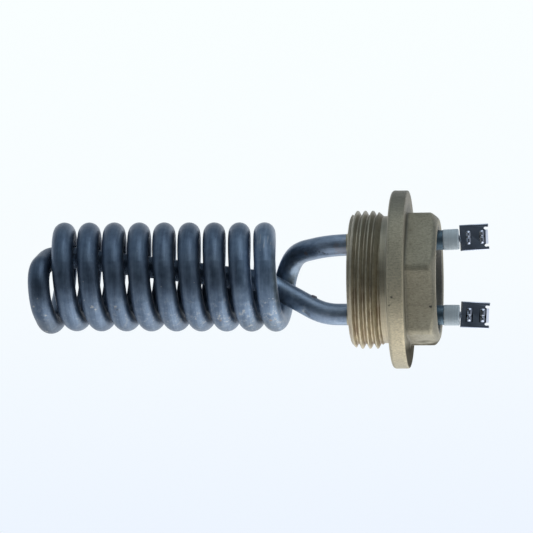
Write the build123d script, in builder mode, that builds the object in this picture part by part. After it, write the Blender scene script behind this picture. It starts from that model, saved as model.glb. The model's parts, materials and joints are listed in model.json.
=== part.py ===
"""Screw-in immersion heater for a water boiler: a coiled tubular element in a brass plug.

Millimetres. The origin is the centre of the flange's sealing face on the plug's axis.
+X runs out through the hexagon to the terminals and the coil lies towards -X.
+Z is up, with the upper leg above the lower one.
"""
import os
from math import cos, pi, radians, sin

from build123d import *

os.makedirs("parts", exist_ok=True)

# Screw plug: a G 1 1/4 thread drawn plain at its outer size, a flange and a hollow hexagon
thread_radius = 41.91 / 2
core_radius = 38.95 / 2
boss_length = 12.45
neck_length, neck_radius = 2.6, 19.3
thread_end_chamfer = 0.5
flange_radius = 54.1 / 2
flange_thickness = 5.0
rim_round = 1.1
rim_chamfer = 0.4
hex_across_flats = 37.6
hex_corner_round = 2.2
hex_turn = 49.3
hex_end_x = 14.2
hex_face_radius = 18.5
hex_bevel_slope = 0.42
hex_end_round = 0.5
recess_radius = 16.0
recess_floor_x = -4.5
recess_mouth_chamfer = 0.5
recess_floor_round = 0.5

# Heating tube: one long tube, wound as a right-hand coil round its own return leg.
# The winding closes up a little over its last half turn.
tube_radius = 6.6 / 2
coil_radius = 13.38
coil_pitch = 7.72
coil_axis_z = 0.77
first_crown_x = -101.0
coil_start_turn = -0.42
coil_end_turn = 8.7
pull_from_turn, pull_rate = 8.2, 3.0
arcs_per_turn = 8
coil_tilt = 0.5

# Return leg, and the end loop that joins it to the coil on the near side
return_leg_y = 2.7
return_near_plug = (-39.4, return_leg_y, -0.7)
return_far_end = (-105.3, return_leg_y, 7.5)
loop_shoulder = (-107.0, -13.0, 2.8)
loop_side = (-106.2, -13.8, -7.5)
loop_lead = 8.5
loop_radii = [6.5, 6.6, 8.4, 11.0]

# Rise from the coil's last foot to the upper leg
rise_lead = 8.2
rise_bend = (-28.9, 6.5, 8.4)
rise_radii = [8.6, 14.0, 14.0]

# Legs where they pass through the plug: height at the sealing face and splay in degrees
legs = {"upper": (11.24, 2.38), "lower": (-10.69, -0.8)}
upper_bend_x, lower_bend_x = -20.0, -21.1
return_bend_radius, lower_bend_radius = 14.0, 16.0
tube_end_x = 15.4

# What each leg holds: pin, magnesia, seal and bush, in a bore that stays in the straight
sheath_bore_radius = 2.4
cold_bore_depth = 27.0
swage_length, swage_taper_length, swage_radius = 3.4, 0.8, 3.0
pin_radius = 1.1
bush_radius, bush_length, bush_round = 3.15, 4.75, 0.35
spigot_length = 2.2
seal_length = 3.0

# Terminal: a folded sheet channel, open at the back, welded to a flat on the pin
sheet = 0.8
terminal_gap = 0.4
terminal_rise = 0.28
terminal_height, terminal_length, terminal_depth = 7.9, 8.7, 3.0
fold_radius = 0.5
terminal_tilts = {"upper": 0.3, "lower": -2.3}
pin_flat = 0.25
pin_in_terminal = 6.9
horn_length, horn_height = 0.9, 1.05
relief_radius, relief_place = 0.55, (0.15, 2.75)
bead_length, bead_width, bead_height, bead_round = 4.5, 1.8, 0.45, 0.4
bead_places = (2.65, 6.7)
lip_height, lip_radius, lip_straight, lip_angle = 4.3, 0.45, 0.5, 60

# Brazed joints round each leg on both sides of the plug's wall
braze_legs = {"wet": 1.5, "dry": 1.0}
braze_sink = 0.5


def tilted(x, y, z):
    """Point or direction given along the coil's axis, which tilts a little from the plug's."""
    return Vector(x, y, z).rotate(Axis.Y, coil_tilt)


def coil_point(turn):
    """Point on the coil's centre line, counted in turns from the first crown."""
    angle = 2 * pi * turn
    pull = pull_rate * max(0, turn - pull_from_turn) ** 2
    return tilted(
        first_crown_x + coil_pitch * turn - pull,
        -coil_radius * sin(angle),
        coil_axis_z + coil_radius * cos(angle),
    )


def coil_direction(turn):
    """Unit direction of the coil's centre line at that point."""
    angle = 2 * pi * turn
    rise = (coil_pitch - 2 * pull_rate * max(0, turn - pull_from_turn)) / (2 * pi)
    return tilted(rise, -coil_radius * cos(angle), -coil_radius * sin(angle)).normalized()


def leg_plane(leg, x=0.0, tilt=0.0):
    """Plane across a leg, x along it from the sealing face, facing out to the terminals.

    Its local X points away from the viewer and its local Y to the top.
    """
    height, splay = legs[leg]
    way, turned = radians(splay), radians(splay + tilt)
    origin = Vector(x * cos(way), 0, height + x * sin(way))
    return Plane(origin=origin, x_dir=(0, 1, 0), z_dir=(cos(turned), 0, sin(turned)))


def leg_profile_plane(leg, x=0.0):
    """Plane along a leg for turned profiles: local X out along the leg, local Y upwards."""
    across = leg_plane(leg, x)
    return Plane(origin=across.origin, x_dir=across.z_dir, z_dir=(0, -1, 0))


def leg_axis(leg):
    """Axis of a leg, pointing out to its terminal."""
    across = leg_plane(leg)
    return Axis(across.origin, across.z_dir)


# Screw plug
with BuildPart() as screw_plug:
    with BuildSketch(Plane.XZ):
        with BuildLine():
            Polyline(
                (-boss_length, 0),
                (-boss_length, core_radius),
                (-boss_length + thread_radius - core_radius, thread_radius),
                (-neck_length - thread_end_chamfer, thread_radius),
                (-neck_length, thread_radius - thread_end_chamfer),
                (-neck_length, neck_radius),
                (0, neck_radius),
                (0, flange_radius),
                (flange_thickness, flange_radius),
                (flange_thickness, 0),
                close=True,
            )
        make_face()
    revolve(axis=Axis.X)
    rim_edges = screw_plug.edges().filter_by(GeomType.CIRCLE).group_by(SortBy.RADIUS)[-1].sort_by(Axis.X)
    fillet(rim_edges[0], rim_round)
    chamfer(rim_edges[-1], rim_chamfer)
    with BuildSketch(Plane.YZ.offset(flange_thickness)):
        RegularPolygon(hex_across_flats / 2, 6, major_radius=False, rotation=hex_turn)
        fillet(vertices(), hex_corner_round)
    extrude(amount=hex_end_x - flange_thickness)
    with BuildSketch(Plane.XZ):
        with BuildLine():
            bevel_drop = hex_bevel_slope * (flange_radius - hex_face_radius)
            Polyline(
                (hex_end_x, hex_face_radius),
                (hex_end_x, flange_radius),
                (hex_end_x - bevel_drop, flange_radius),
                close=True,
            )
        make_face()
    revolve(axis=Axis.X, mode=Mode.SUBTRACT)
    fillet(screw_plug.faces().sort_by(Axis.X)[-1].edges(), hex_end_round)
    with BuildSketch(Plane.YZ.offset(recess_floor_x)):
        Circle(recess_radius)
    extrude(amount=hex_end_x - recess_floor_x, mode=Mode.SUBTRACT)
    recess_edges = screw_plug.edges().filter_by(
        lambda edge: edge.geom_type == GeomType.CIRCLE and abs(edge.radius - recess_radius) < 1e-6
    )
    fillet(recess_edges.sort_by(Axis.X)[0], recess_floor_round)
    chamfer(recess_edges.sort_by(Axis.X)[-1], recess_mouth_chamfer)
    for leg in legs:
        with BuildSketch(leg_plane(leg, -boss_length - 2)):
            Circle(tube_radius)
        extrude(amount=boss_length + recess_floor_x + 4, mode=Mode.SUBTRACT)
screw_plug.part.label = "screw_plug"
export_step(screw_plug.part, "parts/screw_plug.step")

# Heating tube: lower leg, return leg, end loop, coil and upper leg in one run
swage_start_x = tube_end_x - swage_length
with BuildPart() as heating_tube:
    with BuildLine() as route:
        coil_start, start_way = coil_point(coil_start_turn), coil_direction(coil_start_turn)
        FilletPolyline(
            leg_plane("lower", swage_start_x).origin,
            leg_plane("lower", lower_bend_x).origin,
            tilted(*return_near_plug),
            tilted(*return_far_end),
            tilted(*loop_shoulder),
            tilted(*loop_side),
            coil_start - start_way * loop_lead,
            coil_start,
            radius=[lower_bend_radius, return_bend_radius] + loop_radii,
        )
        turns = coil_end_turn - coil_start_turn
        arc_count = round(turns * arcs_per_turn)
        place, way = coil_start, start_way
        for step in range(1, arc_count + 1):
            arc = TangentArc(place, coil_point(coil_start_turn + turns * step / arc_count), tangent=way)
            place, way = arc @ 1, arc % 1
        FilletPolyline(
            place,
            place + way * rise_lead,
            tilted(*rise_bend),
            leg_plane("upper", upper_bend_x).origin,
            leg_plane("upper", swage_start_x).origin,
            radius=rise_radii,
        )
    with BuildSketch(leg_plane("lower", swage_start_x)):
        Circle(tube_radius)
    sweep(path=route.wires()[0])
    for leg in legs:
        with BuildSketch(leg_profile_plane(leg, swage_start_x)):
            with BuildLine():
                Polyline(
                    (0, 0),
                    (0, tube_radius),
                    (swage_taper_length, swage_radius),
                    (swage_length, swage_radius),
                    (swage_length, 0),
                    close=True,
                )
            make_face()
        revolve(axis=leg_axis(leg))
        with BuildSketch(leg_plane(leg, tube_end_x - cold_bore_depth)):
            Circle(sheath_bore_radius)
        extrude(amount=cold_bore_depth, mode=Mode.SUBTRACT)
heating_tube.part.label = "heating_tube"
export_step(heating_tube.part, "parts/heating_tube.step")
tube_volume = pi * tube_radius**2 * route.wires()[0].length
print("route length", round(route.wires()[0].length, 1), "sweep volume", round(tube_volume))

# Pins, magnesia, seals and bushes in both legs
bore_end_x = tube_end_x - cold_bore_depth
seal_start_x = tube_end_x - spigot_length - seal_length
terminal_start_x = tube_end_x + bush_length + terminal_gap
flat_start_x = terminal_start_x - terminal_gap / 2
for leg in legs:
    with BuildPart() as cold_pin:
        with BuildSketch(leg_plane(leg, bore_end_x)):
            Circle(pin_radius)
        extrude(amount=terminal_start_x + pin_in_terminal - bore_end_x)
        with BuildSketch(leg_plane(leg, flat_start_x)):
            with Locations((-2 * pin_radius + pin_flat, 0)):
                Rectangle(2 * pin_radius, 2 * pin_radius)
        extrude(amount=terminal_start_x + pin_in_terminal - flat_start_x, mode=Mode.SUBTRACT)
    cold_pin.part.label = f"cold_pin_{leg}"
    export_step(cold_pin.part, f"parts/cold_pin_{leg}.step")

    with BuildPart() as magnesia_filling:
        with BuildSketch(leg_plane(leg, bore_end_x)):
            Circle(sheath_bore_radius)
            Circle(pin_radius, mode=Mode.SUBTRACT)
        extrude(amount=seal_start_x - bore_end_x)
    magnesia_filling.part.label = f"magnesia_filling_{leg}"
    export_step(magnesia_filling.part, f"parts/magnesia_filling_{leg}.step")

    with BuildPart() as end_seal:
        with BuildSketch(leg_plane(leg, seal_start_x)):
            Circle(sheath_bore_radius)
            Circle(pin_radius, mode=Mode.SUBTRACT)
        extrude(amount=seal_length)
    end_seal.part.label = f"end_seal_{leg}"
    export_step(end_seal.part, f"parts/end_seal_{leg}.step")

    with BuildPart() as ceramic_bush:
        with BuildSketch(leg_plane(leg, tube_end_x)):
            Circle(bush_radius)
        extrude(amount=bush_length)
        fillet(ceramic_bush.edges().filter_by(GeomType.CIRCLE), bush_round)
        with BuildSketch(leg_plane(leg, tube_end_x - spigot_length)):
            Circle(sheath_bore_radius)
        extrude(amount=spigot_length)
        with BuildSketch(leg_plane(leg, tube_end_x - spigot_length)):
            Circle(pin_radius)
        extrude(amount=spigot_length + bush_length, mode=Mode.SUBTRACT)
    ceramic_bush.part.label = f"ceramic_bush_{leg}"
    export_step(ceramic_bush.part, f"parts/ceramic_bush_{leg}.step")

# Terminals: channel with a notched end, a turned-in lip and two pressed beads
web_inner = pin_flat - pin_radius
web_middle = web_inner - sheet / 2
web_outer = web_inner - sheet
fold_y = (terminal_height - sheet) / 2
notch_y = terminal_height / 2 - horn_height
notch_x = terminal_length - horn_length
for leg in legs:
    across = leg_plane(leg, terminal_start_x, terminal_tilts[leg])
    across.origin += across.y_dir * terminal_rise
    front = Plane(origin=across.origin, x_dir=across.z_dir, z_dir=(0, -1, 0)).offset(-web_outer)
    top_view = Plane(origin=across.origin, x_dir=across.z_dir, z_dir=across.y_dir)
    with BuildPart() as terminal:
        with BuildSketch(across):
            with BuildLine():
                FilletPolyline(
                    (web_outer + terminal_depth, fold_y),
                    (web_middle, fold_y),
                    (web_middle, -fold_y),
                    (web_outer + terminal_depth, -fold_y),
                    radius=fold_radius,
                )
            trace(line_width=sheet)
        extrude(amount=terminal_length)
        with BuildSketch(front):
            with Locations((terminal_length, 0)):
                Rectangle(2 * horn_length, 2 * notch_y)
            with Locations(*[(notch_x + relief_place[0], side * relief_place[1]) for side in (1, -1)]):
                Circle(relief_radius)
        extrude(amount=-1.5 * sheet, mode=Mode.SUBTRACT)
        with BuildSketch(top_view.offset(-lip_height / 2)):
            with BuildLine():
                web_end = Line((notch_x - sheet, web_middle), (notch_x, web_middle))
                bend = JernArc(web_end @ 1, web_end % 1, lip_radius, lip_angle)
                Line(bend @ 1, bend @ 1 + (bend % 1) * lip_straight)
            trace(line_width=sheet)
        extrude(amount=lip_height)
        with BuildSketch(front):
            with Locations(*[(place, 0) for place in bead_places]):
                SlotOverall(bead_length, bead_width, rotation=90)
        extrude(amount=bead_height)
        bead_tops = terminal.faces().filter_by(Axis.Y).sort_by(Axis.Y)[: len(bead_places)]
        fillet(bead_tops.edges(), bead_round)
    terminal.part.label = f"terminal_{leg}"
    export_step(terminal.part, f"parts/terminal_{leg}.step")

# Braze fillets: turned round the leg and cut off square at the plug's faces
for leg in legs:
    for side, face_x, way in (("wet", -boss_length, -1), ("dry", recess_floor_x, 1)):
        reach = braze_legs[side]
        bulge = reach * (1 - sin(radians(45)))
        with BuildPart() as braze_ring:
            with BuildSketch(leg_profile_plane(leg, face_x)):
                with BuildLine():
                    ThreePointArc(
                        (way * reach, tube_radius),
                        (way * bulge, tube_radius + bulge),
                        (0, tube_radius + reach),
                    )
                    Polyline(
                        (0, tube_radius + reach),
                        (-way * braze_sink, tube_radius + reach),
                        (-way * braze_sink, tube_radius),
                        (way * reach, tube_radius),
                    )
                make_face()
            revolve(axis=leg_axis(leg))
            split(bisect_by=Plane.YZ.offset(face_x), keep=Keep.TOP if way > 0 else Keep.BOTTOM)
        braze_ring.part.label = f"braze_ring_{side}_{leg}"
        export_step(braze_ring.part, f"parts/braze_ring_{side}_{leg}.step")
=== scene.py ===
"""Looks for a screw-in immersion heater: coiled oxidised tube, cast brass plug, ceramic bushes."""
import json
import math

import bmesh
import bpy
from mathutils import Matrix, Vector
from mathutils import noise as field


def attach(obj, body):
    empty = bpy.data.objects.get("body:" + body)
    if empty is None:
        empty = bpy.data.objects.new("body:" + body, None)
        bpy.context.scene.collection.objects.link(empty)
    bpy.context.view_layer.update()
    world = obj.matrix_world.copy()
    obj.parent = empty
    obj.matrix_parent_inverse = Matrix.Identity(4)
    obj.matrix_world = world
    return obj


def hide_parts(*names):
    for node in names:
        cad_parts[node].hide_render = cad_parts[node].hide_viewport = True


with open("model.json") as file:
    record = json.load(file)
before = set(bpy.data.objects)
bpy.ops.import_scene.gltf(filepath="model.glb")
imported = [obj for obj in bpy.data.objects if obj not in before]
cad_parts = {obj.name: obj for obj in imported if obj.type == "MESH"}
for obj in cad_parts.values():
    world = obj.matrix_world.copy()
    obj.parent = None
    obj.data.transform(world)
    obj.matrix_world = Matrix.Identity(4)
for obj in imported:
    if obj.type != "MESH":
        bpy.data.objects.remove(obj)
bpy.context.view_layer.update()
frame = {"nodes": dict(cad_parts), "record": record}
MM = 0.001

# Camera: fitted to the coil's outline in the photograph
view_turn = math.radians(6.75)
view_distance = 1097 * MM
view_target = Vector((-38.65, 0, 3.96)) * MM
focal_pixels = 3600
image_pixels = 533
sensor_mm = 36
roll = math.radians(0.5)
camera_near, camera_far = 0.01, 50

# Plug: sizes from the CAD model's named values
thread_radius = 20.955 * MM
core_radius = 19.475 * MM
thread_pitch = 2.309 * MM
boss_end = -12.45 * MM
neck_start = -2.6 * MM
neck_radius = 19.3 * MM
flange_radius = 27.05 * MM
flange_end = 5.0 * MM
rim_round = 1.1 * MM
rim_break = 0.4 * MM
hex_flats = 37.6 * MM
hex_corner = 3.0 * MM
hex_turn = math.radians(49.3)
hex_end = 14.2 * MM
hex_face_radius = 18.2 * MM
hex_bevel_slope = 0.42
hex_edge_round = 1.1 * MM
hex_edge_inset = 0.2 * MM
recess_radius = 16.0 * MM
recess_floor = -4.5 * MM
recess_break = 0.5 * MM
recess_root = 0.5 * MM
crest_at_top = -10.45 * MM

# Thread form: a cosine wave mixed with straight flanks, each between its root and its crest
wave_share = 0.35
wave_span = (0.08, 0.92)
flank_span = (0.13, 0.87)
run_out_slope = 0.9

# Plug mesh: columns round the axis and rows of its longer stretches
plug_columns = 420
thread_rows = 116
face_rows, round_rows, wall_rows = 5, 7, 7
flat_rows, end_rows = 15, 8
sharp_angle = math.radians(35)

# Small steps of the plug's profile, in millimetres: rings on the flat faces and pairs of steps at the edges
wet_face_rings = (0.1, 5, 9, 13, 17)
wet_edge = ((0, -0.45), (0.1, -0.15))
thread_lead, thread_start = 0.1, 0.3
neck_rings = (-2.3, -1.6, -0.9, -0.25)
neck_root = 0.25
hex_foot = ((0, 0.5), (0.1, 0.2), (0.3, 0.05), (0.6, 0))
mouth_edge = ((0, 0.08), (-0.06, -0.02))
floor_edge = 0.15
recess_floor_rings = (12, 8, 4, 0.1)

# Uneven cast skin: radius from which it swells, waves to the metre and their height in millimetres, where the
# swell begins and is whole behind the sealing face, and how far the skin lies under the outline
swell_start = 17 * MM
swell_rise = (0.6 * MM, 1.6 * MM)
broad_swell, fine_swell = (130, 0.09), (620, 0.035)
swell_drop = 0.06

# Terminals, in millimetres and degrees; the lines hold the height at the sealing face, the splay, the tilt,
# the place of the beads' dents and how much the beads widen upwards
terminal_lines = {"upper": (11.24, 2.38, 0.3, 0.15, 0.0), "lower": (-10.69, -0.8, -2.3, -0.3, 0.12)}
terminal_start = 20.55
terminal_rise = 0.28
terminal_height, terminal_length, terminal_depth = 7.9, 8.7, 3.0
sheet, fold_round, edge_break = 0.8, 0.3, 0.06
web_front = 1.65
horn_length, horn_height = 0.9, 0.95
relief_radius, relief_inset = 0.5, 0.05
lip_half, lip_length, lip_angle, lip_sheet = 2.15, 1.3, 56, 0.5
lip_overlap, lip_inset = 0.3, 0.1
tool_front, tool_back = 1, 0.4
bead_places = (2.65, 6.7)
bead_half_width, bead_straight, bead_end, bead_height, bead_root = 0.8, 1.3, 0.85, 0.42, 0.05
bead_dent, dent_length, dent_width = 0.2, 0.32, 0.6
bead_columns, bead_rows = 36, 72

# Lump of scale on the lower leg, in millimetres: centre, half sizes, the leg's direction there, and its waves
burr_centre = (-24.0, 0.2, -5.1)
burr_half = (0.95, 0.6, 0.42)
burr_way = (0.89, 0, -0.46)
burr_waves = ((1.6, 0.3), (4.5, 0.1))

# Marks on the tube, in millimetres: centre, size and kind; each kind has a tone and a strength
mark_kinds = {
    "rust": ((0.31, 0.21, 0.14), 0.55),
    "pale": ((0.62, 0.58, 0.5), 0.4),
    "dark": ((0.07, 0.075, 0.085), 0.55),
    "burr": ((0.34, 0.29, 0.32), 0.8),
}
mark_size = 0.75
tube_marks = (
    ((-90.2, -13.9, -7.5), 0.75, "pale"),
    ((-89.3, -13.1, -8.3), 0.5, "pale"),
    ((-90.8, -13.9, -7.2), 0.35, "dark"),
    ((-83.0, -14.0, -7.4), 0.55, "pale"),
    ((-82.6, -13.4, -8.4), 0.5, "dark"),
    ((-83.3, -13.5, -8.0), 0.3, "rust"),
    ((-51.6, -11.9, -10.4), 0.5, "pale"),
    ((-51.5, -10.3, -11.9), 0.6, "rust"),
    ((-52.2, -11.0, -11.3), 0.45, "pale"),
    ((-36.3, -10.3, -12.0), 0.8, "rust"),
    ((-44.1, -13.2, -8.9), 0.6, "pale"),
    ((-26.6, 1.1, 8.0), 0.95, "rust"),
    ((-27.1, 0.6, 7.6), 0.5, "dark"),
    ((-21.2, -1.7, 8.4), 0.55, "dark"),
    ((-20.5, -1.6, 8.1), 0.4, "dark"),
    ((-19.7, -1.7, 7.9), 0.35, "dark"),
    ((-27.2, -1.8, -9.4), 0.7, "pale"),
    ((-24.0, 0.0, -5.0), 1.3, "burr"),
    ((-23.3, -1.1, 8.9), 0.45, "dark"),
    ((-22.2, -1.5, 8.6), 0.5, "dark"),
    ((-20.8, -1.6, 8.1), 0.45, "dark"),
    ((-22.9, -0.8, 8.0), 0.3, "dark"),
    ((-26.4, -2.1, -9.6), 0.8, "dark"),
    ((-25.8, -2.0, -10.2), 0.9, "dark"),
    ((-25.4, -1.7, -10.9), 0.6, "dark"),
    ((-106.5, -16.3, -4.8), 0.3, "pale"),
    ((-108.0, -14.9, -7.2), 0.5, "pale"),
    ((-104.6, -13.1, -10.0), 0.45, "pale"),
    ((-105.8, -5.4, -14.9), 0.7, "pale"),
    ((-104.9, -9.5, -13.2), 0.35, "pale"),
)

# Pits in the casting, in millimetres: centre, size, tone and strength
plug_marks = (
    ((12.6, -17.1, -8.1), 0.45, (0.03, 0.03, 0.028), 0.9),
    ((1.7, -26.5, -5.2), 0.4, (0.07, 0.06, 0.05), 0.8),
    ((0.9, -25.9, -7.6), 0.3, (0.07, 0.06, 0.05), 0.7),
)

# Floor: tones, height, size, the stretch over which it fades out, and how much the camera sees of its glow
floor_tone, floor_glow = (0.86, 0.9, 0.95), (0.87, 0.925, 1.0)
floor_height = -350 * MM
floor_size = 6
floor_fade = (0.25, 0.9)
floor_seen = 0.8

# Room round the part: level by the angle about the X axis, 0 in front, 90 above, 180 behind
cool, plain = (0.78, 0.95, 1.12), (0.96, 1.0, 1.05)
room_levels = (
    (-180, 1.0, plain), (-90, 1.0, plain), (-62, 0.52, plain), (-45, 0.25, plain), (-30, 0.17, cool),
    (-14, 0.115, cool), (0, 0.057, cool), (14, 0.1, cool), (32, 0.17, cool), (50, 0.26, cool),
    (66, 0.38, cool), (82, 0.5, cool), (100, 0.4, cool), (125, 0.36, cool), (145, 0.62, plain),
    (160, 1.0, plain), (180, 1.0, plain),
)
side_level = (0.31, 0.33, 0.36)
side_start = 0.55
screen_tones = ((-0.08, (0.84, 0.905, 1.0)), (0, (0.93, 0.975, 1.0)), (0.08, (0.95, 1.0, 1.0)))

# Lamps: name, place, target, size, power and colour
lamps = (
    ("under", (0.09, 0.04, -0.3), (-0.035, 0, 0), 0.45, 0.72, (1.0, 0.99, 0.97)),
    ("front_top", (0.16, -0.34, 0.52), (0, 0, 0), 0.4, 0.4, (0.92, 0.97, 1.0)),
    ("overhead", (0.04, -0.08, 0.45), (0, 0, 0), 0.15, 0.07, (0.9, 0.96, 1.0)),
)

# Range in which most of a noise texture lies
noise_low, noise_high = 0.3, 0.7


def is_socket(value):
    """True for a node socket, false for a plain number or colour."""
    return hasattr(value, "links")


class Graph:
    """Node tree of a material or world, with short calls for the nodes used here."""

    def __init__(self, owner, output_kind="ShaderNodeOutputMaterial"):
        owner.use_nodes = True
        self.owner = owner
        self.nodes, self.links = owner.node_tree.nodes, owner.node_tree.links
        self.nodes.clear()
        self.output = self.nodes.new(output_kind)

    def add(self, kind, **settings):
        """New node with its settings."""
        node = self.nodes.new(kind)
        for name, value in settings.items():
            setattr(node, name, value)
        return node

    def put(self, socket, value):
        """Link a socket or set a constant."""
        if is_socket(value):
            self.links.new(value, socket)
        elif isinstance(value, (tuple, list)) and socket.type == "RGBA":
            socket.default_value = (*value[:3], 1)
        else:
            socket.default_value = value

    def fill(self, node, **values):
        """The node with its named sockets filled, spaces written as underscores."""
        for name, value in values.items():
            self.put(node.inputs[name.replace("_", " ")], value)
        return node

    def surface(self, shader):
        """Join a shader to the output."""
        self.put(self.output.inputs["Surface"], shader)

    def axes(self, vector):
        """The three components of a vector."""
        return self.fill(self.add("ShaderNodeSeparateXYZ"), Vector=vector).outputs

    def vector_math(self, operation, first, second=(0, 0, 0), result="Vector"):
        """Vector math node."""
        node = self.add("ShaderNodeVectorMath", operation=operation)
        self.put(node.inputs[0], first)
        self.put(node.inputs[1], second)
        return node.outputs[result]

    def maths(self, operation, first, second=0.0):
        """Math node on sockets or numbers."""
        node = self.add("ShaderNodeMath", operation=operation)
        self.put(node.inputs[0], first)
        self.put(node.inputs[1], second)
        return node.outputs[0]

    def product(self, first, *others):
        """Product of masks and numbers."""
        for other in others:
            first = self.maths("MULTIPLY", first, other)
        return first

    def remap(self, value, low, high, to_low=0.0, to_high=1.0):
        """Value moved from one range to another, clamped."""
        node = self.fill(self.add("ShaderNodeMapRange"), Value=value, From_Min=low, From_Max=high)
        return self.fill(node, To_Min=to_low, To_Max=to_high).outputs["Result"]

    def fade(self, value, start, end, first=0.0, last=1.0):
        """Value that goes from first to last between two places in millimetres."""
        return self.remap(value, start * MM, end * MM, first, last)

    def between(self, value, low, high, soft):
        """Mask of a stretch of an axis in millimetres, soft at both ends."""
        rise = self.fade(value, low - soft, low + soft)
        return self.product(rise, self.fade(value, high + soft, high - soft))

    def ramp(self, factor, stops):
        """Colour ramp with stops of (place, colour)."""
        node = self.add("ShaderNodeValToRGB")
        elements = node.color_ramp.elements
        for place, _ in stops[1:-1]:
            elements.new(place)
        for element, (place, colour) in zip(elements, stops):
            element.position = place
            element.color = (*colour, 1)
        return self.fill(node, Fac=factor).outputs["Color"]

    def along(self, value, stops, unit=MM):
        """Colour by the place on an axis, with stops of (place in units, colour)."""
        start, end = stops[0][0], stops[-1][0]
        spread = [((place - start) / (end - start), colour) for place, colour in stops]
        return self.ramp(self.remap(value, start * unit, end * unit), spread)

    def mix(self, factor, first, second, blend="MIX"):
        """Mix of two colours, each a socket or a constant."""
        node = self.add("ShaderNodeMix", data_type="RGBA", blend_type=blend)
        for socket, value in ((node.inputs[0], factor), (node.inputs[6], first), (node.inputs[7], second)):
            self.put(socket, value)
        return node.outputs[2]

    def blend(self, factor, first, second):
        """Mix of two shaders."""
        node = self.fill(self.add("ShaderNodeMixShader"), Fac=factor)
        self.put(node.inputs[1], first)
        self.put(node.inputs[2], second)
        return node.outputs["Shader"]

    def over(self, colour, tone, *masks):
        """Colour covered with a tone where the masks say so."""
        return self.mix(self.product(*masks), colour, tone)

    def times(self, colour, tone, *masks):
        """Colour multiplied by a tone where the masks say so, or all over."""
        return self.mix(self.product(*masks) if masks else 1.0, colour, tone, "MULTIPLY")


class Finish(Graph):
    """Material with a principled shader, whose textures and masks keep to the row frame's metres."""

    def __init__(self, name, **values):
        super().__init__(bpy.data.materials.new(name))
        self.shader = self.fill(self.add("ShaderNodeBsdfPrincipled"), **values)
        self.surface(self.shader.outputs["BSDF"])
        self.place = self.add("ShaderNodeTexCoord").outputs["Object"]
        self.x, self.y, self.z = self.axes(self.place)

    def noise(self, scale, detail=4.0, roughness=0.55):
        """Noise texture's factor; three scales stretch it along the axes."""
        vector = self.place
        if isinstance(scale, tuple):
            vector, scale = self.vector_math("MULTIPLY", vector, scale), 1
        node = self.fill(self.add("ShaderNodeTexNoise"), Vector=vector, Scale=scale)
        return self.fill(node, Detail=detail, Roughness=roughness).outputs["Fac"]

    def specks(self, scale, share, size):
        """Mask of scattered dots: share of the cells that have one, size against the cell."""
        node = self.fill(self.add("ShaderNodeTexVoronoi"), Vector=self.place, Scale=scale)
        chosen = self.remap(self.axes(node.outputs["Color"])["X"], share, share * 0.8)
        return self.product(chosen, self.remap(node.outputs["Distance"], size, size * 0.6))

    def spot(self, centre, radius, rough=0.6):
        """Mask of one mark with a ragged edge, centre and radius in millimetres."""
        away = self.vector_math("DISTANCE", self.place, tuple(c * MM for c in centre), "Value")
        swing = rough * radius * MM
        ragged = self.level(self.noise(1.6 / (radius * MM), 3), -swing, swing)
        return self.fade(self.maths("ADD", away, ragged), radius, 0.75 * radius)

    def level(self, noise, low, high):
        """Noise's usual range moved to another range."""
        return self.remap(noise, noise_low, noise_high, low, high)

    def paint(self, **values):
        """Set the shader's sockets."""
        self.fill(self.shader, **values)

    def bump(self, height, distance, strength=1.0):
        """Bump from a height socket, in metres at full height."""
        node = self.fill(self.add("ShaderNodeBump"), Distance=distance, Strength=strength, Height=height)
        self.paint(Normal=node.outputs["Normal"])


def sheath_colour(g, drawn, blotch):
    """Slate metal: drawn lines and fine blotches over broad ones."""
    slate = ((0.3, (0.113, 0.16, 0.226)), (0.5, (0.135, 0.185, 0.256)), (0.72, (0.16, 0.21, 0.278)))
    line_contrast = ((0.3, (0.72, 0.72, 0.74)), (0.7, (1.26, 1.25, 1.23)))
    blotch_contrast = ((0.36, (0.68, 0.7, 0.74)), (0.64, (1.26, 1.24, 1.21)))
    colour = g.times(g.ramp(g.noise(75), slate), g.ramp(drawn, line_contrast), 0.75)
    return g.times(colour, g.ramp(blotch, blotch_contrast), 0.6)


def sheath_painted_light(g, colour):
    """Painted light and shade: end loop to legs, last turn, feet, bend; teal ends in the hollow."""
    # Painted shade at the end loop and painted light growing towards the legs, along the tube
    levels = (
        (-112, (0.76, 0.76, 0.76)), (-98, (1, 1, 1)), (-52, (1, 1, 1)), (-43, (1.3, 1.29, 1.27)),
        (-40, (1.42, 1.4, 1.36)), (-30, (1.55, 1.5, 1.44)), (-20, (2.45, 2.2, 2.0)),
    )
    feet_painted_shade, middle_painted_light, bend_painted_highlight = (0.72, 0.69, 0.65), (1.3, 1.32, 1.34), (1.2, 1.14, 1.06)
    teal = (0.125, 0.19, 0.24)
    colour = g.times(colour, g.along(g.x, levels))
    last_turn = g.between(g.x, -45, -34, 1.0)
    ends = g.maths("MAXIMUM", g.fade(g.x, -101, -104), last_turn)
    # Painted shade low on the feet of the end loop and the last turn
    colour = g.times(colour, feet_painted_shade, g.fade(g.z, -10, -13), ends, 0.8)
    # Painted light across the middle of the last turn
    colour = g.times(colour, middle_painted_light, last_turn, g.between(g.z, -4, 8, 3.0))
    # Painted highlight on the bend
    colour = g.times(colour, bend_painted_highlight, g.between(g.x, -34.5, -26, 2.0), g.between(g.z, 0, 7.5, 1.5))
    return g.over(colour, teal, g.fade(g.x, 9, 12))


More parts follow.
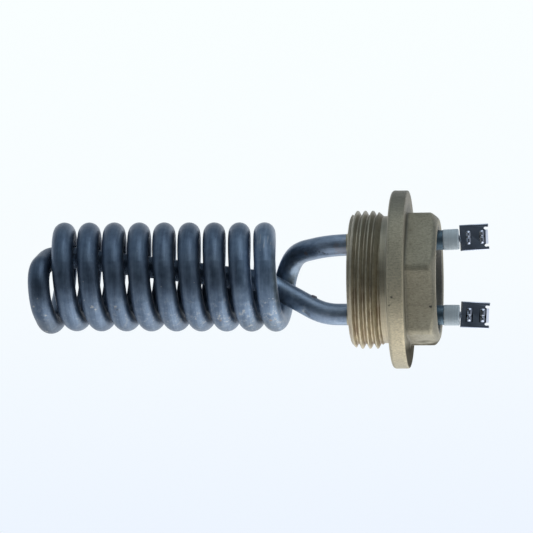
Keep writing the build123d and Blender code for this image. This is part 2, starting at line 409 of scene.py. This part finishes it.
def make_sheath():
    """Oxidised sheath: slate blue, satin, drawn lines along the strands, pale scale low down."""
    scale_tone, dot_tone = (0.5, 0.5, 0.48), (0.6, 0.61, 0.6)
    warm, highlight_tone = (0.4, 0.33, 0.31), (0.5, 0.5, 0.47)
    g = Finish("oxidised_sheath", Metallic=0.82)
    round_coil, along_leg = g.noise((1500, 90, 90), 4, 0.65), g.noise((90, 1500, 1500), 4, 0.65)
    drawn = g.mix(g.fade(g.x, -33, -29), round_coil, along_leg)
    blotch = g.noise(380, 5, 0.6)
    colour = sheath_colour(g, drawn, blotch)

    # Pale scale, mostly low on the near side, and light dots
    low = g.product(g.fade(g.z, -3, -11), g.fade(g.y, 3, -6))
    near = g.product(g.fade(g.x, -100, -40, 0.35, 1.0), g.fade(g.x, -24, -32, 0.2, 1.0))
    scale = g.product(g.remap(g.noise(760, 6, 0.72), 0.53, 0.68), low, near)
    colour = g.over(colour, scale_tone, scale, 0.75)
    colour = g.over(colour, dot_tone, g.specks(800, 0.1, 0.16), g.fade(g.z, 12, -10, 0.15, 0.8))
    colour = sheath_painted_light(g, colour)

    # Marks, a warm patch on the upper leg and a painted highlight along the drawn lines on the last turn
    for centre, size, kind in tube_marks:
        tone, strength = mark_kinds[kind]
        colour = g.over(colour, tone, g.spot(centre, mark_size * size), strength)
    colour = g.over(colour, warm, g.spot((-15.0, -2.9, 9.0), 2.6, 0.8), 0.35)
    # Painted highlight on the last turn's upper front
    painted_light_mask = g.product(g.spot((-37.9, -12.9, 12.0), 2.6, 0.9), g.remap(drawn, 0.5, 0.6))
    colour = g.over(colour, highlight_tone, painted_light_mask, 0.5)

    g.paint(Base_Color=colour)
    g.paint(Roughness=g.maths("ADD", g.level(blotch, 0.34, 0.5), g.product(scale, 0.15)))
    fine = g.noise(1500, 4, 0.6)
    g.bump(g.maths("ADD", g.product(drawn, 0.5), g.product(fine, 0.5)), 0.00006, 0.6)
    return g.owner


def cast_colour(g, radius, broad, sandy):
    """Raw casting: sandy grain, painted shade on the rim's top and painted light on the rim lower down."""
    cast = ((0.3, (0.355, 0.318, 0.23)), (0.5, (0.41, 0.37, 0.272)), (0.72, (0.465, 0.42, 0.31)))
    grain_contrast = ((0.34, (0.68, 0.68, 0.68)), (0.5, (1.0, 1.0, 0.99)), (0.66, (1.2, 1.2, 1.18)))
    painted_top_shade, low_painted_light = (0.16, 0.15, 0.12), (1.55, 1.48, 1.4)
    colour = g.times(g.ramp(broad, cast), g.ramp(sandy, grain_contrast))
    on_rim = g.fade(radius, 26.4, 26.9)
    # Painted shade on the rim's top
    colour = g.over(colour, painted_top_shade, on_rim, g.fade(g.z, 17, 25, 0.0, 0.65))
    # Painted light on the rim lower down
    painted_light_mask = g.product(on_rim, g.fade(g.z, 21, -14), g.fade(g.z, -26, -18, 0.3, 1.0))
    return g.times(colour, low_painted_light, painted_light_mask)


def turned_colour(g, radius, broad, rings, streaks):
    """Turned metal: fine rings, brown stain in the thread's roots, a painted highlight beside the flange."""
    bare = ((0.3, (0.505, 0.45, 0.34)), (0.7, (0.635, 0.565, 0.43)))
    ring_contrast = ((0.32, (0.72, 0.71, 0.68)), (0.66, (1.12, 1.12, 1.1)))
    streak_contrast = ((0.35, (0.78, 0.76, 0.72)), (0.62, (1.06, 1.06, 1.06)))
    painted_height_light = ((16, (0.78, 0.8, 0.82)), (-16, (1.16, 1.13, 1.06)))
    brown, highlight_tone = (0.25, 0.175, 0.115), (0.66, 0.62, 0.5)
    colour = g.times(g.ramp(broad, bare), g.ramp(rings, ring_contrast), 0.8)
    colour = g.times(colour, g.ramp(streaks, streak_contrast), 0.6)
    root = g.product(g.fade(radius, 20.75, 19.7), g.between(g.x, -12.2, -2.4, 0.2))
    stain = g.product(root, g.remap(g.noise(160), 0.42, 0.62), g.fade(g.z, 6, -12, 0.35, 1.0))
    colour = g.over(colour, brown, stain, 0.7)
    # Painted highlight on the neck beside the flange, in place of a fillet's
    fillet_highlight = g.product(g.between(g.x, -0.95, -0.1, 0.12), g.fade(radius, 20.4, 19.8))
    colour = g.over(colour, highlight_tone, fillet_highlight, 0.6)
    # Painted shade at the top and painted light at the bottom of the turned metal
    return g.times(colour, g.along(g.z, painted_height_light))


def with_pits_and_painted_shade(g, colour, radius, turned, pits):
    """Flange's upper right face darker; painted shade at the hex foot, in the hollow, at the bevel; pits."""
    face_tone, foot_shade_tone, recess_shade_tone = (0.2, 0.185, 0.15), (0.13, 0.12, 0.095), (0.185, 0.185, 0.18)
    pit_tone, bevel_shade_tone = (0.1, 0.09, 0.07), (0.16, 0.155, 0.125)
    # Darker upper right face of the flange
    upper_face = g.product(g.between(g.x, 4.9, 5.4, 0.1), g.fade(g.z, 6, 16, 0.0, 0.5))
    colour = g.over(colour, face_tone, upper_face)
    # Painted shade in the corner at the hexagon's foot
    foot_painted_shade = g.product(g.between(g.x, 4.5, 5.7, 0.3), g.fade(radius, 23.2, 22.0))
    colour = g.over(colour, foot_shade_tone, foot_painted_shade, 0.55)
    # Painted shade inside the recess
    recess_painted_shade = g.product(g.fade(radius, 16.6, 16.1), g.fade(g.x, -4.9, -4.6))
    colour = g.over(colour, recess_shade_tone, recess_painted_shade, 0.78)
    colour = g.over(colour, pit_tone, pits, g.remap(turned, 0, 1, 0.5, 0.2))
    for centre, size, tone, strength in plug_marks:
        colour = g.over(colour, tone, g.spot(centre, size), strength)
    # Painted shade on the bevel at the hexagon's end
    bevel_painted_shade = g.product(g.fade(g.x, 12.6, 13.3), g.fade(radius, 18.0, 18.5))
    return g.over(colour, bevel_shade_tone, bevel_painted_shade, 0.5)


def make_brass():
    """Raw casting with a sandy grain; thread, neck and sealing face turned, stained in the roots."""
    crescent_tone, seam_tone, rough = (0.075, 0.068, 0.057), (0.14, 0.13, 0.1), (1.0, 1.0, 1.0)
    g = Finish("cast_brass")
    radius = g.vector_math("LENGTH", g.vector_math("MULTIPLY", g.place, (0, 1, 1)), result="Value")
    turned = g.fade(g.x, 0.6, 0.1)
    broad = g.noise(70, 5)
    sandy = g.mix(0.55, g.noise(1700, 4, 0.65), g.noise((1000, 3400, 3400), 4, 0.6))
    rings, streaks = g.noise((5200, 60, 60), 3, 0.6), g.noise((260, 900, 900), 4, 0.65)
    pits = g.specks(420, 0.08, 0.1)
    colour = cast_colour(g, radius, broad, sandy)
    colour = g.over(colour, turned_colour(g, radius, broad, rings, streaks), turned)
    colour = with_pits_and_painted_shade(g, colour, radius, turned, pits)

    # Dark dull patch low on the flange's right face, and the mould's seam on the near flat
    ragged = g.maths("ADD", g.z, g.level(g.noise(300), -1.2 * MM, 1.2 * MM))
    dark_crescent = g.product(g.fade(ragged, -18.5, -21), g.fade(g.x, 4.7, 4.9), g.fade(radius, 26.9, 26.5))
    colour = g.over(colour, crescent_tone, dark_crescent, 0.85)
    seam = g.product(g.between(g.z, -7.75, -7.45, 0.1), g.fade(g.y, -10, -12), g.between(g.x, 5.6, 13.0, 0.3))
    colour = g.over(colour, seam_tone, seam, 0.35)

    polish = g.mix(turned, g.level(sandy, 0.62, 0.5), g.level(streaks, 0.36, 0.5))
    g.paint(Base_Color=colour, Roughness=g.mix(dark_crescent, polish, rough))
    g.paint(Metallic=g.remap(dark_crescent, 0, 0.6, 0.6, 0.0))
    g.paint(Specular_IOR_Level=g.remap(dark_crescent, 0, 0.6, 0.5, 0.0))
    skin = g.mix(turned, sandy, g.product(rings, 0.35))
    g.bump(g.maths("SUBTRACT", skin, g.product(pits, 0.6)), 0.0002, 0.8)
    return g.owner


def make_ceramic():
    """Unglazed grey-green ceramic with faint rings and fine pores."""
    body = ((0.3, (0.68, 0.765, 0.8)), (0.7, (0.76, 0.84, 0.865)))
    ring_contrast = ((0.35, (0.88, 0.88, 0.88)), (0.65, (1.06, 1.06, 1.06)))
    pore_tone = (0.16, 0.18, 0.18)
    g = Finish("bush_ceramic", Roughness=0.5, Metallic=0.0)
    rings, pores = g.noise((2600, 90, 90), 2, 0.5), g.specks(1500, 0.3, 0.2)
    colour = g.times(g.ramp(g.noise(300, 5), body), g.ramp(rings, ring_contrast), 0.6)
    g.paint(Base_Color=g.over(colour, pore_tone, pores, 0.35))
    g.bump(g.maths("SUBTRACT", rings, pores), 0.00003, 0.5)
    return g.owner


def make_nickel():
    """Polished nickel plate with faint rolling lines and finger marks."""
    plate = ((0.3, (0.5, 0.545, 0.65)), (0.7, (0.61, 0.645, 0.74)))
    g = Finish("terminal_nickel", Metallic=1.0)
    smear = g.noise(420, 5, 0.6)
    g.paint(Base_Color=g.ramp(smear, plate), Roughness=g.level(smear, 0.08, 0.16))
    g.bump(g.noise((150, 150, 4200), 3, 0.6), 0.000008, 0.4)
    return g.owner


def make_plain(name, dark, light, metallic, roughness, grain_scale=1500, grain_depth=0.00004):
    """Simple finish between two tones with a fine grain."""
    g = Finish(name, Metallic=metallic)
    fine = g.noise(grain_scale)
    g.paint(Base_Color=g.ramp(g.noise(320, 5), ((0.3, dark), (0.7, light))))
    g.paint(Roughness=g.level(fine, roughness * 0.8, roughness * 1.2))
    g.bump(fine, grain_depth, 0.5)
    return g.owner


def portion(value, low, high):
    """Place of a value between two limits, from 0 to 1."""
    return min(1.0, max(0.0, (value - low) / (high - low)))


def hex_reach(angle):
    """Distance from the axis to the rounded hexagon's outline, at an angle from +Y to +Z."""
    half = hex_flats / 2
    side = math.radians(30)
    from_corner = abs((angle - hex_turn + side) % (2 * side) - side)
    if from_corner > side - math.atan((half - hex_corner) * math.tan(side) / half):
        return half / math.cos(side - from_corner)
    centre = (half - hex_corner) / math.cos(side)
    across = centre * math.sin(from_corner)
    return centre * math.cos(from_corner) + math.sqrt(hex_corner**2 - across**2)


def thread_reach(x, angle):
    """Radius of the right-hand pipe thread at x along the axis and an angle from +Y to +Z."""
    turn = (angle - math.pi / 2) / (2 * math.pi)
    phase = ((x - crest_at_top) / thread_pitch + turn) % 1.0
    height = abs(phase - 0.5) * 2
    wave = 0.5 - 0.5 * math.cos(math.pi * portion(height, *wave_span))
    form = wave_share * wave + (1 - wave_share) * portion(height, *flank_span)
    return core_radius + (thread_radius - core_radius) * form


def end_edge(angle, t):
    """Point on the softened turned edge of the hexagon's end, t from 0 on the wall to 1 on the face."""
    reach = hex_reach(angle)
    corner_x = hex_end - hex_bevel_slope * (reach - hex_face_radius)
    face = (hex_end, hex_face_radius - hex_edge_inset)
    points = ((corner_x - hex_edge_round, reach), (corner_x, reach), face)
    weights = ((1 - t) ** 2, 2 * t * (1 - t), t**2)
    return tuple(sum(w * p[i] for w, p in zip(weights, points)) for i in (0, 1))


def ring(x, radius):
    """Rule of a round row of the plug: angle -> (x, radius)."""
    return lambda angle: (x, radius)


def thread_row(x):
    """Rule of a row of the thread, which starts at the wet face and runs out at the neck."""
    lead = core_radius + max(0.0, x - boss_end - thread_lead * MM)
    tail = neck_radius + max(0.0, neck_start - x) * run_out_slope
    return lambda angle: (x, min(thread_reach(x, angle), lead, tail))


def edge_rows(x, radius, steps):
    """Rules of small steps at an edge, along the axis and outwards from a corner."""
    return [ring(x + along * MM, radius + out * MM) for along, out in steps]


def boss_rows():
    """Wet face, thread and neck."""
    rows = [ring(boss_end, radius * MM) for radius in wet_face_rings]
    rows += edge_rows(boss_end, core_radius, wet_edge)
    start = boss_end + thread_start * MM
    rows += [thread_row(start + (neck_start - start) * i / thread_rows) for i in range(thread_rows + 1)]
    return rows + [ring(x * MM, neck_radius) for x in neck_rings]


def flange_rows():
    """Sealing face, rounded rim and its broken right edge."""
    seat = flange_radius - rim_round
    rows = [ring(0, neck_radius + neck_root * MM)]
    rows += [ring(0, neck_radius + (seat - neck_radius) * i / face_rows) for i in range(1, face_rows)]
    for i in range(round_rows + 1):
        turn = math.radians(90 * i / round_rows)
        rows.append(ring(rim_round * (1 - math.cos(turn)), seat + rim_round * math.sin(turn)))
    width = flange_end - rim_break - rim_round
    rows += [ring(rim_round + width * i / wall_rows, flange_radius) for i in range(1, wall_rows + 1)]
    rows.append(ring(flange_end - 0.3 * rim_break, flange_radius - 0.3 * rim_break))
    return rows + [ring(flange_end, flange_radius - rim_break)]


def hexagon_rows():
    """Flange's right face, fillet at the hexagon's foot, flats and softened end."""
    rim, foot_out = flange_radius - rim_break, hex_foot[0][1] * MM
    start = flange_end + hex_foot[-1][0] * MM
    rows = []
    for i in range(1, face_rows):
        rows.append(lambda a, t=i / face_rows: (flange_end, rim + (hex_reach(a) + foot_out - rim) * t))
    for along, out in hex_foot:
        rows.append(lambda a, x=flange_end + along * MM, out=out: (x, hex_reach(a) + out * MM))
    for i in range(1, flat_rows):
        rows.append(lambda a, t=i / flat_rows: (start + (end_edge(a, 0)[0] - start) * t, hex_reach(a)))
    for i in range(end_rows + 1):
        rows.append(lambda a, t=i / end_rows: end_edge(a, t))
    return rows


def recess_rows():
    """End face, broken edge, wall and bottom of the recess."""
    mouth = recess_radius + recess_break
    top, bottom = hex_end - recess_break, recess_floor + recess_root
    rows = [ring(hex_end, (hex_face_radius + mouth) / 2)] + edge_rows(hex_end, mouth, mouth_edge)
    rows += [ring(top + (bottom - top) * i / wall_rows, recess_radius) for i in range(wall_rows + 1)]
    rows.append(ring(recess_floor + floor_edge * MM, recess_radius - floor_edge * MM))
    rows.append(ring(recess_floor, recess_radius - recess_root))
    return rows + [ring(recess_floor, radius * MM) for radius in recess_floor_rings]


def cast_swell(point):
    """Small unevenness of the raw casting, none on the turned thread, neck and sealing face."""
    broad = field.noise(point * broad_swell[0]) * broad_swell[1]
    fine = field.noise(point * fine_swell[0] + Vector((7, 3, 5))) * fine_swell[1]
    return portion(point.x, *swell_rise) * (broad + fine - swell_drop) * MM


def object_from(verts, faces, name):
    """Object of a closed mesh with its normals outwards."""
    mesh = bpy.data.meshes.new(name)
    mesh.from_pydata(verts, [], faces)
    mesh.validate()
    body = bmesh.new()
    body.from_mesh(mesh)
    bmesh.ops.recalc_face_normals(body, faces=body.faces)
    body.to_mesh(mesh)
    body.free()
    piece = bpy.data.objects.new(name, mesh)
    bpy.context.scene.collection.objects.link(piece)
    return piece


def smoothed(piece):
    """The piece with smooth shading, but for its sharp edges."""
    for polygon in piece.data.polygons:
        polygon.use_smooth = True
    piece.data.set_sharp_from_angle(angle=sharp_angle)
    return piece


def build_plug():
    """Closed plug mesh: rows of the profile turned round the X axis."""
    verts, faces = [], []
    rows = boss_rows() + flange_rows() + hexagon_rows() + recess_rows()
    columns = plug_columns
    for rule in rows:
        for c in range(columns):
            angle = 2 * math.pi * c / columns
            x, radius = rule(angle)
            outward = Vector((0, math.cos(angle), math.sin(angle)))
            point = outward * radius + Vector((x, 0, 0))
            if radius > swell_start:
                point += outward * cast_swell(point)
            verts.append(point)
    for r in range(len(rows) - 1):
        for c in range(columns):
            n = (c + 1) % columns
            faces.append((r * columns + c, r * columns + n, (r + 1) * columns + n, (r + 1) * columns + c))
    faces.append(tuple(range(columns - 1, -1, -1)))
    last = (len(rows) - 1) * columns
    faces.append(tuple(range(last, last + columns)))
    return smoothed(object_from(verts, faces, "plug_casting"))


def carried(outline, low, high, order):
    """Object of one solid: an outline in two axes, carried along the third from low to high."""
    count = len(outline)
    verts = [order(point, level) for level in (low, high) for point in outline]
    faces = [tuple(range(count)), tuple(range(2 * count - 1, count - 1, -1))]
    faces += [(i, (i + 1) % count, count + (i + 1) % count, count + i) for i in range(count)]
    return object_from(verts, faces, "part")


def applied(piece):
    """The piece with its modifiers worked into its mesh."""
    bpy.context.view_layer.update()
    mesh = bpy.data.meshes.new_from_object(piece.evaluated_get(bpy.context.evaluated_depsgraph_get()))
    piece.modifiers.clear()
    piece.data = mesh
    return piece


def combined(base, other, operation):
    """Boolean of two objects; the second one is used up."""
    modifier = base.modifiers.new("join", "BOOLEAN")
    modifier.operation, modifier.solver, modifier.object = operation, "EXACT", other
    applied(base)
    bpy.data.objects.remove(other)
    return base


def arc_points(centre, radius, start, end, count=6):
    """Points of an arc, angles in degrees."""
    turns = [math.radians(start + (end - start) * i / count) for i in range(count + 1)]
    return [(centre[0] + radius * math.cos(t), centre[1] + radius * math.sin(t)) for t in turns]


def bead_level(side, rise, dent_at, head):
    """Height of a pressed bead over the web: gentle sides, rounded ends, a dent and a wider head."""
    half_width = bead_half_width + head * max(0.0, rise)
    across = math.cos(math.pi / 2 * min(1.0, abs(side) / half_width)) ** 2
    along = math.cos(math.pi / 2 * min(1.0, max(0.0, abs(rise) - bead_straight) / bead_end)) ** 2
    dent = bead_dent * math.exp(-(((rise - dent_at) / dent_length) ** 2 + (side / dent_width) ** 2))
    return max(0.0, bead_height * across * along - dent)


def bead_ridge(place, dent_at, head):
    """Verts and faces of one bead, a closed grid that stands on the web's front."""
    verts, faces = [], []
    columns, rows = bead_columns, bead_rows
    reach = bead_straight + bead_end
    width = bead_half_width + head * reach
    for r in range(rows + 1):
        rise = reach * (2 * r / rows - 1)
        for c in range(columns + 1):
            side = width * (2 * c / columns - 1)
            verts.append((place + side, web_front + bead_level(side, rise, dent_at, head), rise))
    for r in range(rows):
        for c in range(columns):
            a, b = r * (columns + 1) + c, (r + 1) * (columns + 1) + c
            faces.append((a, a + 1, b + 1, b))
    border = list(range(columns + 1))
    border += [r * (columns + 1) + columns for r in range(1, rows + 1)]
    border += [rows * (columns + 1) + c for c in range(columns - 1, -1, -1)]
    border += [r * (columns + 1) for r in range(rows - 1, 0, -1)]
    under = len(verts)
    verts += [(verts[i][0], web_front - bead_root, verts[i][2]) for i in border]
    count = len(border)
    faces += [(border[i], border[(i + 1) % count], under + (i + 1) % count, under + i) for i in range(count)]
    faces.append(tuple(range(under, under + count)))
    return verts, faces


def terminal_channel():
    """Folded channel: a web in front and two flanges that run back from it."""
    back, half, inner = web_front - terminal_depth, terminal_height / 2, web_front - sheet
    outline = [(back, half)]
    outline += arc_points((web_front - fold_round, half - fold_round), fold_round, 90, 0)
    outline += arc_points((web_front - fold_round, fold_round - half), fold_round, 0, -90)
    outline += [(back, -half), (back, sheet - half), (inner, sheet - half)]
    outline += [(inner, half - sheet), (back, half - sheet)]
    return carried(outline, 0, terminal_length, lambda p, x: (x, p[0], p[1]))


def terminal_notch():
    """Tool that cuts the web's end between two horns, with round reliefs beside the lip."""
    start, edge = terminal_length - horn_length, terminal_height / 2 - horn_height
    relief, round_z = start + relief_inset, edge - relief_radius
    notch = [(start, -lip_half)]
    notch += arc_points((relief, -round_z), relief_radius, 180, 300)
    notch += [(terminal_length + tool_front, -edge), (terminal_length + tool_front, edge)]
    notch += arc_points((relief, round_z), relief_radius, 60, 180)
    notch.append((start, lip_half))
    low, high = web_front - sheet - tool_back, web_front + tool_front
    return carried(notch, low, high, lambda p, out: (p[0], out, p[1]))


def terminal_lip():
    """Tongue of the web that leans back at the notch."""
    start, turn = terminal_length - horn_length, math.radians(lip_angle)
    tip = (start + lip_length * math.cos(turn), web_front - lip_length * math.sin(turn))
    under = (tip[0] - lip_sheet * math.sin(turn), tip[1] - lip_sheet * math.cos(turn))
    root = start - lip_overlap
    lip = [(root, web_front), (start, web_front), tip, under, (root, web_front - sheet + lip_inset)]
    return carried(lip, -lip_half, lip_half, lambda p, z: (p[0], p[1], z))


def build_terminal(leg):
    """Folded sheet terminal: channel with a notched end, a lip bent back and two domed beads."""
    height, splay, tilt, dent_at, head = terminal_lines[leg]
    piece = combined(terminal_channel(), terminal_notch(), "DIFFERENCE")
    combined(piece, terminal_lip(), "UNION")
    edges = piece.modifiers.new("edges", "BEVEL")
    edges.width, edges.segments, edges.limit_method = edge_break, 2, "ANGLE"
    edges.angle_limit = math.radians(40)
    applied(piece)
    whole = bmesh.new()
    whole.from_mesh(piece.data)
    for place in bead_places:
        dome = object_from(*bead_ridge(place, dent_at, head), "dome")
        whole.from_mesh(dome.data)
        bpy.data.objects.remove(dome)
    way, turned = math.radians(splay), math.radians(splay + tilt)
    along = Vector((math.cos(turned), 0, math.sin(turned)))
    up = Vector((-math.sin(turned), 0, math.cos(turned)))
    start = Vector((terminal_start * math.cos(way), 0, height + terminal_start * math.sin(way)))
    start += up * terminal_rise
    for vert in whole.verts:
        x, out, z = vert.co
        vert.co = (start + along * x + up * z + Vector((0, -out, 0))) * MM
    bmesh.ops.recalc_face_normals(whole, faces=whole.faces)
    whole.to_mesh(piece.data)
    whole.free()
    piece.name = f"terminal_sheet_{leg}"
    return smoothed(piece)


def build_burr():
    """Lump of scale on top of the lower leg, uneven and longer than it is high."""
    way, back = Vector(burr_way).normalized(), Vector((0, 1, 0))
    axes = Matrix((way, back, way.cross(back))).transposed()
    body = bmesh.new()
    bmesh.ops.create_icosphere(body, subdivisions=4, radius=1)
    for vert in body.verts:
        uneven = 1 + sum(height * field.noise(vert.co * waves) for waves, height in burr_waves)
        size = Vector(burr_half) * uneven
        vert.co = (Vector(burr_centre) + axes @ Vector(v * s for v, s in zip(vert.co, size))) * MM
    mesh = bpy.data.meshes.new("scale_burr")
    body.to_mesh(mesh)
    body.free()
    burr = bpy.data.objects.new("scale_burr", mesh)
    bpy.context.scene.collection.objects.link(burr)
    return smoothed(burr)


def make_floor_finish():
    """Pale floor that keeps the shadow near the part and fades into the backdrop further out."""
    g = Graph(bpy.data.materials.new("pale_floor"))
    diffuse = g.fill(g.add("ShaderNodeBsdfDiffuse"), Color=floor_tone).outputs["BSDF"]
    glow = g.fill(g.add("ShaderNodeEmission"), Color=floor_glow).outputs["Emission"]
    clear = g.add("ShaderNodeBsdfTransparent").outputs["BSDF"]
    rays = g.add("ShaderNodeLightPath").outputs
    seen = g.maths("MAXIMUM", g.product(rays["Is Camera Ray"], floor_seen), rays["Is Glossy Ray"])
    place = g.add("ShaderNodeTexCoord").outputs["Object"]
    gone = g.remap(g.vector_math("LENGTH", place, result="Value"), *floor_fade)
    g.surface(g.blend(gone, g.blend(seen, diffuse, glow), clear))
    return g.owner


def make_world():
    """White screen for the camera; for the light a room that is white behind and below, dim in front."""
    g = Graph(bpy.data.worlds.new("studio"), "ShaderNodeOutputWorld")
    across, depth, rise = g.axes(g.add("ShaderNodeTexCoord").outputs["Generated"])
    around = g.maths("ARCTAN2", rise, g.product(depth, -1.0))
    levels = [(angle, tuple(level * c for c in tint)) for angle, level, tint in room_levels]
    sides = g.remap(g.maths("ABSOLUTE", across), side_start, 1.0)
    lit = g.mix(sides, g.along(around, levels, math.radians(1)), side_level, "LIGHTEN")
    room = g.fill(g.add("ShaderNodeBackground"), Color=lit).outputs["Background"]
    white = g.along(rise, screen_tones, 1)
    screen = g.fill(g.add("ShaderNodeBackground"), Color=white).outputs["Background"]
    g.surface(g.blend(g.add("ShaderNodeLightPath").outputs["Is Camera Ray"], room, screen))
    return g.owner


def add_lamp(name, place, target, size, power, colour):
    """Soft square lamp aimed at a point."""
    data = bpy.data.lights.new(name, "AREA")
    data.shape = "SQUARE"
    data.size = size
    data.energy = power
    data.color = colour
    lamp = bpy.data.objects.new(name, data)
    lamp.location = place
    lamp.rotation_mode = "QUATERNION"
    lamp.rotation_quaternion = (Vector(target) - Vector(place)).to_track_quat("-Z", "Y")
    lamp.visible_camera = False
    bpy.context.scene.collection.objects.link(lamp)


brass = make_brass()
finishes = {
    "plug_brass": brass,
    "sheath_steel": make_sheath(),
    "bush_ceramic": make_ceramic(),
    "terminal_nickel": make_nickel(),
    "pin_steel": make_plain("pin_steel", (0.28, 0.29, 0.31), (0.42, 0.43, 0.45), 1.0, 0.3),
    "magnesia": make_plain("magnesia", (0.72, 0.71, 0.67), (0.86, 0.85, 0.82), 0.0, 0.9, 1200, 0.0001),
    "seal_resin": make_plain("seal_resin", (0.3, 0.28, 0.25), (0.38, 0.36, 0.33), 0.0, 0.45),
    "braze": make_plain("braze", (0.36, 0.31, 0.2), (0.5, 0.44, 0.3), 0.9, 0.38, 900, 0.00008),
}
for entry in frame["record"]["subparts"]:
    node = frame["nodes"][entry["node"]]
    node.data.materials.clear()
    node.data.materials.append(finishes[entry["material_slot"]])

plug = build_plug()
plug.data.materials.append(brass)
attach(plug, "root")
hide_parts("screw_plug")

burr = build_burr()
burr.data.materials.append(finishes["sheath_steel"])
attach(burr, "root")

for leg in terminal_lines:
    terminal = build_terminal(leg)
    terminal.data.materials.clear()
    terminal.data.materials.append(finishes["terminal_nickel"])
    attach(terminal, "root")
    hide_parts(f"terminal_{leg}")

# Studio: floor, room, lamps and camera
bpy.ops.mesh.primitive_plane_add(size=floor_size, location=(0, 0, floor_height))
floor = bpy.context.object
floor.name = "floor"
floor.data.materials.append(make_floor_finish())

bpy.context.scene.world = make_world()
for lamp in lamps:
    add_lamp(*lamp)

toward = Vector((-math.sin(view_turn), math.cos(view_turn), 0))
camera_data = bpy.data.cameras.new("camera")
camera_data.sensor_width = sensor_mm
camera_data.lens = focal_pixels / image_pixels * sensor_mm
camera_data.clip_start, camera_data.clip_end = camera_near, camera_far
camera = bpy.data.objects.new("camera", camera_data)
level_view = Matrix.LocRotScale(view_target - toward * view_distance, toward.to_track_quat("-Z", "Y"), None)
camera.matrix_world = Matrix.Rotation(roll, 4, "Y") @ level_view
bpy.context.scene.collection.objects.link(camera)
bpy.context.scene.camera = camera

bpy.context.scene.view_settings.view_transform = "Standard"
